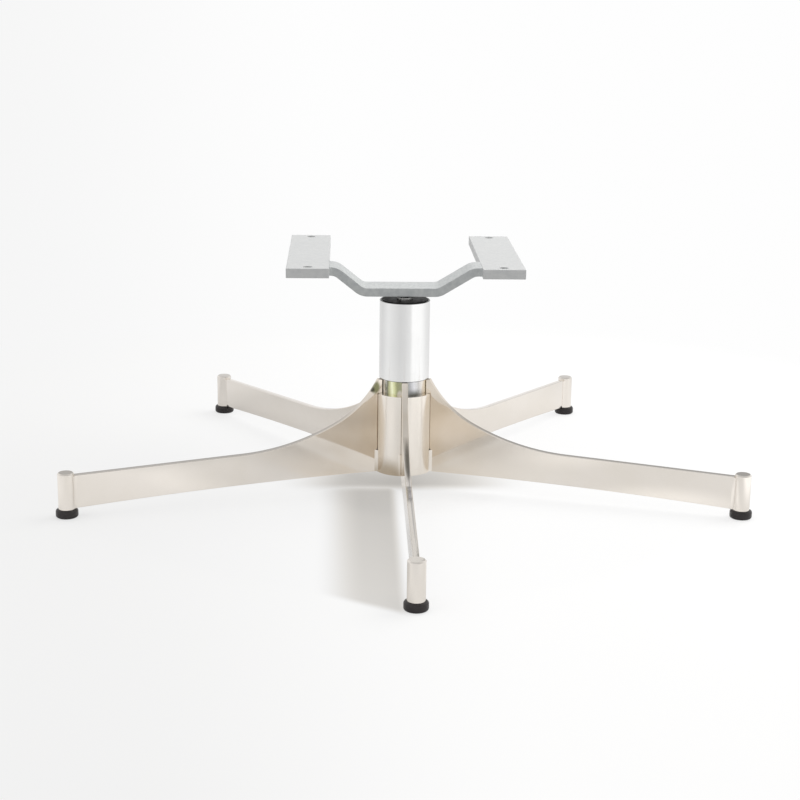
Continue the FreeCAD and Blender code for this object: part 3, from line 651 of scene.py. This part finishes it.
def make_arm(index):
    """Polished plate arm with softly rounded edges."""
    mesh = slab(blade_outline(), BLADE_HALF, BLADE_ROUND, 4)
    bmesh.ops.rotate(mesh, cent=ORIGIN, verts=mesh.verts,
                     matrix=Matrix.Rotation(FRONT + index * STEP, 3, "Z"))
    name = "blade_%d" % (index + 1)
    return finished(name, mesh, NICKEL, "base", ["arm_%d" % (index + 1)], 25)


def make_post(index):
    """Round post with a chamfered top."""
    foot = GLIDE_HIGH + GLIDE_GAP
    outline = [(0, POST_TOP), (POST_R - POST_CHAMFER, POST_TOP),
               (POST_R, POST_TOP - POST_CHAMFER), (POST_R, foot), (0, foot)]
    outline = eased(outline, {1: POST_EDGE, 2: POST_EDGE, 3: POST_FOOT_EDGE})
    mesh = moved_to_arm(spun(outline, False, 96), index)
    name = "round_post_%d" % (index + 1)
    return finished(name, mesh, NICKEL, "base", ["post_%d" % (index + 1)])


def make_glide(index):
    """Black glide with a soft shoulder and a flat sole."""
    outline = [(0, 0), (GLIDE_R, 0), (GLIDE_R, GLIDE_HIGH), (0, GLIDE_HIGH)]
    outline = eased(outline, {1: GLIDE_TOE, 2: GLIDE_SHOULDER}, 8)
    mesh = moved_to_arm(spun(outline, False, 72), index)
    name = "foot_glide_%d" % (index + 1)
    return finished(name, mesh, GLIDE, "base", ["glide_%d" % (index + 1)])


def make_shell():
    """Slotted hub shell: a spun wall, opened over each slot, with eased edges."""
    mesh = bmesh.new()
    bore = CORE_R + FIT_GAP
    outline = [(bore, SHELL_LOW), (SHELL_R, SHELL_LOW), (SHELL_R, SLOT_FLOOR),
               (SHELL_R, SHELL_TOP), (bore, SHELL_TOP), (bore, SLOT_FLOOR)]
    verts, edges = wire(mesh, [Vector((r * MM, 0, z * MM)) for r, z in outline], True)
    halves = [asin(half / SHELL_R) for half in SLOT_HALVES]
    bmesh.ops.rotate(mesh, cent=ORIGIN, verts=verts,
                     matrix=Matrix.Rotation(FRONT - halves[0], 3, "Z"))
    ring = verts + edges
    for index in range(ARMS):
        after = halves[(index + 1) % ARMS]
        for angle, steps in ((2 * halves[index], 8), (STEP - halves[index] - after, 28)):
            made = bmesh.ops.spin(mesh, geom=ring, cent=ORIGIN, axis=AXIS, dvec=ORIGIN,
                                  angle=angle, steps=steps, use_merge=False, use_duplicate=False)
            ring = made["geom_last"]
    bmesh.ops.remove_doubles(mesh, verts=mesh.verts, dist=1e-6)
    bmesh.ops.recalc_face_normals(mesh, faces=mesh.faces)

    def arm_off(point):
        """Nearest arm's number and the point's turn from it."""
        turn = (atan2(point.y, point.x) - FRONT) % (2 * pi)
        number = int(turn / STEP + 0.5) % ARMS
        return number, (turn - number * STEP + pi) % (2 * pi) - pi

    gone = []
    for face in mesh.faces:
        middle = face.calc_center_median()
        number, turn = arm_off(middle)
        if abs(turn) < halves[number] and middle.z > SLOT_FLOOR * MM:
            gone.append(face)
    bmesh.ops.delete(mesh, geom=gone, context="FACES")
    for index in range(ARMS):
        sides = []
        for edge in mesh.edges:
            if not edge.is_boundary:
                continue
            number, turn = arm_off((edge.verts[0].co + edge.verts[1].co) / 2)
            radial = abs(hypot(*edge.verts[0].co.xy) - hypot(*edge.verts[1].co.xy)) > 0.1 * MM
            if number == index and abs(turn) < halves[index] * 1.3 and not radial:
                sides.append(edge)
        bmesh.ops.bridge_loops(mesh, edges=sides)
    bmesh.ops.recalc_face_normals(mesh, faces=mesh.faces)
    sharp = [e for e in mesh.edges
             if len(e.link_faces) == 2 and e.calc_face_angle(0) > radians(40)]
    bmesh.ops.bevel(mesh, geom=sharp, offset=SHELL_EDGE * MM, offset_type="OFFSET",
                    affect="EDGES", segments=2, profile=0.5, material=-1, clamp_overlap=True)
    return finished("slotted_hub", mesh, HUB_NICKEL, "base", ["hub_shell"])


def make_turned():
    """The column's turned pieces."""
    tube = [(CORE_BORE, CORE_LOW), (CORE_R, CORE_LOW), (CORE_R, CORE_TOP), (CORE_BORE, CORE_TOP)]
    tube = eased(tube, {1: TUBE_EDGE, 2: TUBE_EDGE}, closed=True)
    finished("plated_tube", spun(tube, True, 128), ZINC, "base",
             ["core_tube"])
    sleeve = [(SLEEVE_BORE, CREST_HIGH), (SLEEVE_R, CREST_HIGH), (SLEEVE_R, SLEEVE_TOP),
              (SLEEVE_BORE, SLEEVE_TOP)]
    sleeve = eased(sleeve, {0: SLEEVE_BORE_EDGE, 1: SLEEVE_EDGE, 2: SLEEVE_EDGE,
                            3: SLEEVE_BORE_EDGE}, closed=True)
    finished("bright_sleeve", spun(sleeve, True, 160), CHROME, "base",
             ["column_sleeve"])
    low = CORE_TOP - BUSH_LONG
    bush = [(BUSH_BORE, low), (BUSH_R, low), (BUSH_R, CORE_TOP), (CORE_R, CORE_TOP),
            (CORE_R, FLANGE_TOP), (BUSH_BORE, FLANGE_TOP)]
    bush = eased(bush, {4: BUSH_EDGE, 5: BUSH_BORE_EDGE}, closed=True)
    finished("top_bush", spun(bush, True, 96), BUSH, "base", ["upper_bush"])


for number in range(ARMS):
    make_arm(number)
    make_post(number)
    make_glide(number)
make_shell()
make_turned()


# Fillet beads.

def make_beads(name, lines, material, body, nodes, steps):
    """Beads as one piece; each line gives its corner, its two feet, low and high."""
    whole = bmesh.new()
    for corner, first, second, low, high in lines:
        inward = corner - (first + second) / 2
        ring = [corner + inward * BEAD_ROOT]
        for k in range(BEAD_FACETS + 1):
            share = k / BEAD_FACETS
            chord = first + (second - first) * share
            ring.append(chord + inward * (BEAD_SAG * 4 * share * (1 - share)))
        verts = [whole.verts.new((p.x, p.y, low)) for p in ring]
        bottom = whole.faces.new(verts)
        top = [bottom]
        for step in range(1, steps + 1):
            made = bmesh.ops.extrude_face_region(whole, geom=top)
            raised = [g for g in made["geom"] if isinstance(g, bmesh.types.BMVert)]
            if step > 1:
                bmesh.ops.delete(whole, geom=top, context="FACES_ONLY")
            top = [g for g in made["geom"] if isinstance(g, bmesh.types.BMFace)]
            height = low + (high - low) * step / steps
            bmesh.ops.translate(whole, verts=raised, vec=(0, 0, height - raised[0].co.z))
    return finished(name, whole, material, body, nodes, 60)


def arm_bead_lines(centre, radius, out, leg, low, high):
    """Beads between the arms and a round wall; out is 1 where the arm runs outwards from it."""
    lines = []
    for index in range(ARMS):
        turn = Matrix.Rotation(FRONT + index * STEP, 3, "Z")
        for side in (1, -1):
            reach = out * sqrt(radius ** 2 - BLADE_HALF ** 2)
            corner = Vector((centre + reach, side * BLADE_HALF, 0))
            along = corner + Vector((out * leg, 0, 0))
            angle = atan2(BLADE_HALF, reach) + out * leg / radius
            foot = Vector((centre + radius * cos(angle), side * radius * sin(angle), 0))
            corner, along, foot = [turn @ (p * MM) for p in (corner, along, foot)]
            lines.append((corner, along, foot, low * MM, high * MM))
    return lines


make_beads("post_fillets",
           arm_bead_lines(POST_CIRCLE, POST_R, -1, FOOT_WELD,
                          TOE_HIGH + FOOT_WELD_SHORT, TIP_HIGH - FOOT_WELD_SHORT),
           NICKEL, "base", ["post_welds"], 12)
make_beads("hub_fillets",
           arm_bead_lines(0.0, SHELL_R, 1, HUB_WELD, SHELL_LOW + HUB_WELD_SHORT, SLOT_FLOOR),
           HUB_NICKEL, "base", ["hub_welds"], 12)


# Pieces of the seat yoke.

def strap_outline():
    """Side of the bent strap."""
    rise = PAD_TOP - STRAP_THICK - STRAP_LOW
    left = STRAP_THICK * tan(atan(rise / (LEFT_KNEE - LEFT_BEND)) / 2)
    right = STRAP_THICK * tan(atan(rise / (RIGHT_KNEE - RIGHT_BEND)) / 2)
    low, tab, up = STRAP_LOW, PAD_TOP - STRAP_THICK, STRAP_LOW + STRAP_THICK
    corners = [(-PAD_INNER, tab), (-LEFT_KNEE, tab), (-LEFT_BEND, low), (RIGHT_BEND, low),
               (RIGHT_KNEE, tab), (PAD_INNER, tab), (PAD_INNER, PAD_TOP),
               (RIGHT_KNEE - right, PAD_TOP), (RIGHT_BEND - right, up), (-LEFT_BEND + left, up),
               (-LEFT_KNEE + left, PAD_TOP), (-PAD_INNER, PAD_TOP)]
    outside = BEND_INSIDE + STRAP_THICK
    radii = {1: BEND_INSIDE, 2: outside, 3: outside, 4: BEND_INSIDE,
             7: outside, 8: BEND_INSIDE, 9: BEND_INSIDE, 10: outside}
    return eased(corners, radii, 14, closed=True)


def make_pad(name, node_name, sign):
    """Seat pad: a bevelled plate with two drilled holes."""
    mesh = bmesh.new()
    bmesh.ops.create_cube(mesh, size=1.0)
    long, wide = PAD_BACK - PAD_FRONT, PAD_OUTER - PAD_INNER
    bmesh.ops.scale(mesh, vec=Vector((wide, long, PAD_THICK)) * MM, verts=mesh.verts)
    middle = Vector((sign * (PAD_INNER + wide / 2), (PAD_FRONT + PAD_BACK) / 2,
                     PAD_TOP - PAD_THICK / 2)) * MM
    bmesh.ops.translate(mesh, vec=middle, verts=mesh.verts)
    bmesh.ops.bevel(mesh, geom=list(mesh.edges), offset=PAD_EDGE * MM, offset_type="OFFSET",
                    affect="EDGES", segments=3, profile=0.5, material=-1)
    flats = [f for f in mesh.faces if abs(f.normal.z) > 0.99 and f.calc_area() > 1e-3]
    levels = [(flat.calc_center_median().z, list(flat.edges)) for flat in flats]
    bmesh.ops.delete(mesh, geom=flats, context="FACES_ONLY")
    mouth = BOLT_R + BOLT_BEVEL
    for y in BOLT_YS:
        rings = []
        for height, rim in levels:
            sink = -BOLT_BEVEL if height > middle.z else BOLT_BEVEL
            hole = Matrix.Translation((sign * BOLT_X * MM, y * MM, height))
            ring = bmesh.ops.create_circle(mesh, cap_ends=False, segments=48, radius=mouth * MM,
                                           matrix=hole)
            edges = list(dict.fromkeys(e for v in ring["verts"] for e in v.link_edges))
            rim.extend(edges)
            made = bmesh.ops.extrude_edge_only(mesh, edges=edges)
            inner = [g for g in made["geom"] if isinstance(g, bmesh.types.BMVert)]
            centre = Matrix.Translation((-sign * BOLT_X * MM, -y * MM, 0))
            share = BOLT_R / mouth
            bmesh.ops.scale(mesh, vec=(share, share, 1), space=centre, verts=inner)
            bmesh.ops.translate(mesh, vec=(0, 0, sink * MM), verts=inner)
            rings.append([g for g in made["geom"] if isinstance(g, bmesh.types.BMEdge)])
        bmesh.ops.bridge_loops(mesh, edges=[e for r in rings for e in r
                                            if abs(e.verts[0].co.z - e.verts[1].co.z) < 1e-7])
    for height, rim in levels:
        rim = [e for e in rim if e.is_valid]
        normal = (0, 0, 1 if height > middle.z else -1)
        bmesh.ops.triangle_fill(mesh, use_beauty=True, use_dissolve=False, edges=rim,
                                normal=normal)
    return finished(name, mesh, PAD_PAINT, "yoke", [node_name], 50)


def make_yoke():
    """Strap, pads and beads; the spindle stays as it is."""
    strap = slab(strap_outline(), STRAP_HALF, STRAP_EDGE, 3)
    finished("bent_strap", strap, PAINT, "yoke", ["yoke_strap"], 30)
    make_pad("seat_pad_left", "pad_left", -1)
    make_pad("seat_pad_right", "pad_right", 1)
    lines = []
    low, high = PAD_TOP - STRAP_THICK + STRAP_EDGE, PAD_TOP - STRAP_EDGE - PAD_EDGE
    for sign, side in ((1, 1), (1, -1), (-1, 1), (-1, -1)):
        corner = Vector((sign * PAD_INNER, side * STRAP_HALF, 0)) * MM
        along = Vector((sign * (PAD_INNER - YOKE_WELD), side * STRAP_HALF, 0)) * MM
        foot = Vector((sign * PAD_INNER, side * (STRAP_HALF + YOKE_WELD), 0)) * MM
        lines.append((corner, along, foot, low * MM, high * MM))
    make_beads("strap_fillets", lines, PAINT, "yoke", ["yoke_welds"], 8)


make_yoke()


# The nodes that stay as they are get the same finishes.

FINISHES = {"polished_nickel": NICKEL, "sleeve_chrome": CHROME, "yellow_plated_steel": ZINC,
            "bright_steel": STEEL, "yoke_paint": PAINT, "glide_plastic": GLIDE, "bush_plastic": BUSH}
for part in frame["record"]["subparts"]:
    solid = frame["nodes"][part["node"]]
    if not solid.material_slots:
        solid.data.materials.append(None)
    for place in solid.material_slots:
        place.material = FINISHES[part["material_slot"]]


# Stage: floor, world and lamps.

# What bright metal sees of the floor further out, by turn round the axis, 0 degrees at the front.
FLOOR_SIDES = [(-180, 0.84), (-122, 0.76), (-80, 0.92), (-50, 0.82), (-21, 0.73), (2, 0.78),
               (22, 0.88), (27, 0.90), (32, 1.16), (80, 1.14), (114, 0.92), (150, 0.84)]
# Spots of the near floor that bright metal sees lighter or darker: centre, size, change.
FLOOR_SPOTS = [((0.26, -0.06, 0.0), 0.12, 0.32), ((-0.14, -0.15, 0.0), 0.08, 0.13),
               ((0.06, -0.22, 0.0), 0.10, 0.13), ((-0.13, -0.27, 0.0), 0.11, -0.16)]
# Shade beside the front arm for all light but the camera's: centre, size and stretch; depth.
CALM_SPOT = ((-0.055, -0.13, 0.0), 0.15, (1.0, 0.52, 1.0))
CALM_DEPTH = 0.24
# Where the camera sees a lighter floor, right of the hub: centre and size; share.
LIGHT_SPOT = ((0.07, -0.05, 0.0), 0.22)
LIGHT_SHARE = 0.74
# Metres: the floor lies just under the glides and reaches this far each way.
FLOOR_LEVEL = -0.0002
FLOOR_REACH = 30.0
# Brightness of the floor for light that is neither seen nor mirrored, and its tint.
PAPER = 0.60
PAPER_TINT = (1.0, 0.997, 0.99)
# World by the sine of the height that bright metal looks up at.
SKY_LEVELS = [(0.0, 0.93), (0.36, 0.92), (0.60, 0.86), (0.80, 0.70), (0.95, 0.64), (1.0, 0.62)]
# Direction of the dark patch up in front, and its colour.
PATCH_AIM = (0.344, -0.551, 0.760)
PATCH_COLOUR = (0.15, 0.145, 0.13)
BACKDROP = (0.99, 0.99, 0.99)
LAMP_AIM = (0.0, 0.0, 0.08)


def rays(tree):
    """Whether the camera looks, and whether bright metal does."""
    made = node(tree, "ShaderNodeLightPath")
    return [Flow(tree, made.outputs[name]) for name in ("Is Camera Ray", "Is Glossy Ray")]


def floor_shadow(x, y, length):
    """Shadow beside the front arm, which ends at the glide, and the dark under the hub."""
    across = x.smooth(-0.088, -0.040) * x.smooth(-0.016, -0.003, 1.0, 0.0)
    end = (y + x * 0.63).smooth(-0.362, -0.345)
    depth = y.ranged(-0.36, -0.06, 0.25, 0.36)
    beside = across * (end * depth) * y.smooth(-0.03, 0.005, 1.0, 0.0)
    under = y.smooth(-0.028, 0.002, 0.0, 0.38) * length.smooth(0.02, 0.14, 1.0, 0.0)
    return beside.most(under)


def near_mirrored(tree, x, y):
    """Near floor as bright metal sees it: lighter on the front left and the back right."""
    front = x.smooth(-0.14, 0.20, 0.94, 0.74)
    back = x.smooth(-0.3, 0.3, 0.69, 0.86)
    level = front + y.smooth(-0.05, 0.15) * (back - front)
    for centre, size, change in FLOOR_SPOTS:
        level = level + spot(tree, centre, size) * change
    return level * x.smooth(-0.30, -0.20, 0.93, 1.0)


def far_mirrored(tree, x, y, length):
    """Floor further out as bright metal sees it, with a window side on the right."""
    sides = [(angle, (level / 2,) * 3) for angle, level in FLOOR_SIDES]
    colour = ramped(tree, turn_share(tree, x, y), round_axis(sides))
    around = Flow(tree, node(tree, "ShaderNodeRGBToBW", {"Color": colour}).outputs[0]) * 2.0
    around = around.least(length.smooth(0.30, 0.50, 0.84, 1.20))
    return around * length.smooth(0.42, 0.55, 1.10, 1.0)


def floor_material():
    """White paper that keeps the shadows near the object and glows softly further out."""
    material, tree, shader = new_material("floor_paper", Roughness=0.6, Specular_IOR_Level=0.1)
    place = place_of(tree)
    x, y, _ = parts_of(tree, place)
    length = vectors(tree, "LENGTH", place)
    seen, mirrored = rays(tree)
    # Painted light across the picture: the floor goes from a cool light grey on the left to white on
    # the right.
    column = x / (y + 1.7).most(0.8) * y.smooth(-1.20, -0.66)
    shadow = floor_shadow(x, y, length)
    lit = 1.0 - shadow
    calm = 1.0 - spot(tree, *CALM_SPOT) * CALM_DEPTH
    near = seen * (column.ranged(-0.24, 0.20, 0.925, 1.0) - PAPER) + PAPER
    near = near + mirrored * (near_mirrored(tree, x, y) - PAPER)
    near = near * (calm + seen * (lit - calm))
    tree.links.new(grey(tree, near, PAPER_TINT), shader.inputs["Base Color"])
    # Further out the camera sees the backdrop's own brightness.
    close = column.smooth(-0.20, 0.08, 0.885, 0.985)
    level = close + y.smooth(-0.05, 0.40) * (column.smooth(-0.24, 0.0, 0.92, 0.99) - close)
    far = seen * (lit * level) + mirrored * far_mirrored(tree, x, y, length)
    warm = (1.0, shadow.smooth(0.0, 0.30, 1.0, 0.965), shadow.smooth(0.0, 0.30, 1.0, 0.915))
    glow = node(tree, "ShaderNodeEmission", {"Color": grey(tree, far, warm), "Strength": 1.0})
    ring = length.smooth(0.04, 0.12, 0.45, 0.84).least(length.smooth(0.27, 0.33, 1.0, 0.72))
    right = spot(tree, *LIGHT_SPOT) * LIGHT_SHARE
    far_seen = seen * ring.most(length.smooth(0.36, 0.80).most(right))
    far_share = length.smooth(0.36, 0.46, 0.25, 1.0).most(length.smooth(0.09, 0.19, 0.70, 0.25))
    mix = node(tree, "ShaderNodeMixShader", {"Fac": far_seen + mirrored * far_share,
                                             1: shader.outputs[0], 2: glow.outputs[0]})
    # From underneath the floor is clear.
    side = node(tree, "ShaderNodeNewGeometry")
    clear = node(tree, "ShaderNodeBsdfTransparent")
    whole = node(tree, "ShaderNodeMixShader", {"Fac": side.outputs["Backfacing"],
                                               1: mix.outputs[0], 2: clear.outputs[0]})
    tree.links.new(whole.outputs[0], tree.nodes["Material Output"].inputs["Surface"])
    return material


def make_floor():
    """Large floor just under the glides."""
    mesh = bmesh.new()
    bmesh.ops.create_grid(mesh, x_segments=4, y_segments=4, size=FLOOR_REACH)
    data = bpy.data.meshes.new("studio_floor")
    mesh.to_mesh(data)
    mesh.free()
    floor = bpy.data.objects.new("studio_floor", data)
    floor.location.z = FLOOR_LEVEL
    bpy.context.scene.collection.objects.link(floor)
    data.materials.append(floor_material())


def make_world():
    """Soft light, stronger from above; bright metal sees pale walls and one dark patch."""
    world = bpy.data.worlds.new("studio")
    world.use_nodes = True
    bpy.context.scene.world = world
    tree = world.node_tree
    place = place_of(tree)
    x, y, z = parts_of(tree, place)
    seen, mirrored = rays(tree)
    sky = ramped(tree, z, [(height, (level,) * 3) for height, level in SKY_LEVELS])
    rear = y.smooth(0.72, 0.90) * (z.smooth(0.22, 0.27) * z.smooth(0.52, 0.38))
    dimmed = grey(tree, 1.0 - rear * x.smooth(-0.35, 0.20, 0.44, 0.56))
    dark = vectors(tree, "DOT_PRODUCT", place, PATCH_AIM).smooth(0.955, 0.974)
    walls = blended(tree, dark, vectors(tree, "MULTIPLY", sky, dimmed), PATCH_COLOUR)
    light = grey(tree, z.ranged(0.0, 1.0, 0.36, 0.88))
    tone = blended(tree, seen, blended(tree, mirrored, light, walls), BACKDROP)
    ground = tree.nodes["Background"]
    tree.links.new(tone, ground.inputs["Color"])
    ground.inputs["Strength"].default_value = 1.0


def make_lamp(name, at, size, power, colour):
    """Square area lamp aimed at the hub."""
    data = bpy.data.lights.new(name, "AREA")
    data.shape = "SQUARE"
    data.size = size
    data.energy = power
    data.color = colour
    lamp = bpy.data.objects.new(name, data)
    lamp.location = at
    lamp.rotation_euler = (Vector(LAMP_AIM) - Vector(at)).to_track_quat("-Z", "Y").to_euler()
    # Bright metal mirrors the pale walls, not the lamps.
    lamp.visible_glossy = False
    bpy.context.scene.collection.objects.link(lamp)


make_floor()
make_world()
make_lamp("key_lamp", (1.05, 0.55, 1.50), 1.3, 18.0, (1.0, 0.99, 0.97))
make_lamp("fill_lamp", (-1.2, -0.6, 1.8), 1.4, 4.0, (0.97, 0.98, 1.0))


# Camera at the photograph's viewing angle.

AZIMUTH = radians(-2.127)
DISTANCE = 1.638363
HEIGHT = 0.525575
PITCH = radians(14.948)
YAW = radians(0.127)
ROLL = radians(0.735)
LENS = 75.785


def make_camera():
    """Camera from its heading, height, distance and small roll."""
    data = bpy.data.cameras.new("camera")
    data.lens = LENS
    data.sensor_width = 36.0
    data.sensor_fit = "HORIZONTAL"
    data.clip_start = 0.05
    data.clip_end = 100.0
    camera = bpy.data.objects.new("camera", data)
    bpy.context.scene.collection.objects.link(camera)
    heading = AZIMUTH + YAW
    forward = Vector((-sin(heading) * cos(PITCH), cos(heading) * cos(PITCH), -sin(PITCH)))
    across = forward.cross(AXIS).normalized()
    upward = across.cross(forward)
    right = across * cos(ROLL) + upward * sin(ROLL)
    top = -across * sin(ROLL) + upward * cos(ROLL)
    stand = Vector((DISTANCE * sin(AZIMUTH), -DISTANCE * cos(AZIMUTH), HEIGHT))
    axes = Matrix((right, top, -forward)).transposed().to_4x4()
    camera.matrix_world = Matrix.Translation(stand) @ axes
    bpy.context.scene.camera = camera


make_camera()
bpy.context.scene.view_settings.view_transform = "Standard"
